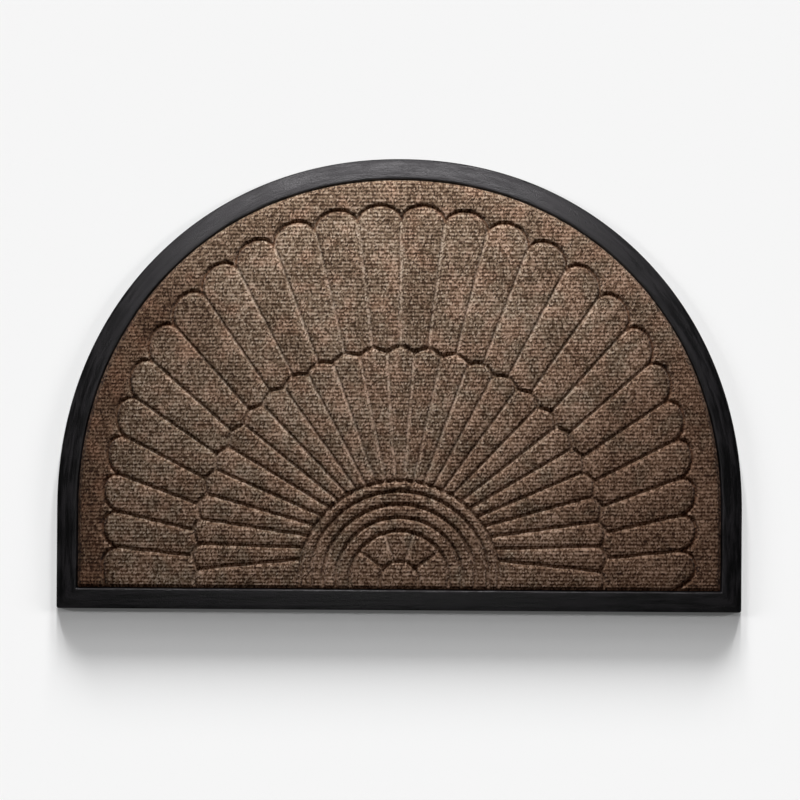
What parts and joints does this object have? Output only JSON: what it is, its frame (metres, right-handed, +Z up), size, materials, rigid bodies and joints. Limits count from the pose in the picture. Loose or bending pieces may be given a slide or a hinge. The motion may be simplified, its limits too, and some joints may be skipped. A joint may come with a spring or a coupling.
{
  "type": "half-round doormat",
  "caption": "Half-round entrance mat: a flat rubber tray with a ramped rim, and a ribbed carpet face pressed with a fan pattern.",
  "frame": {"origin": "on the floor under the middle of the mat's outline, on its flat underside", "axes": "+Z up from the floor, +X along the straight edge, +Y from the straight edge to the round head"},
  "size_m": [0.9, 0.593, 0.0094],
  "materials": {
    "rubber": "moulded black rubber, satin, with a fine grain along the rim",
    "carpet": "ribbed needle-punch carpet in a brown heather, pressed smooth in the grooves of the fan"
  },
  "bodies": {
    "root": {"rubber_tray": "rubber", "carpet_face": "carpet"}
  },
  "joints": []
}
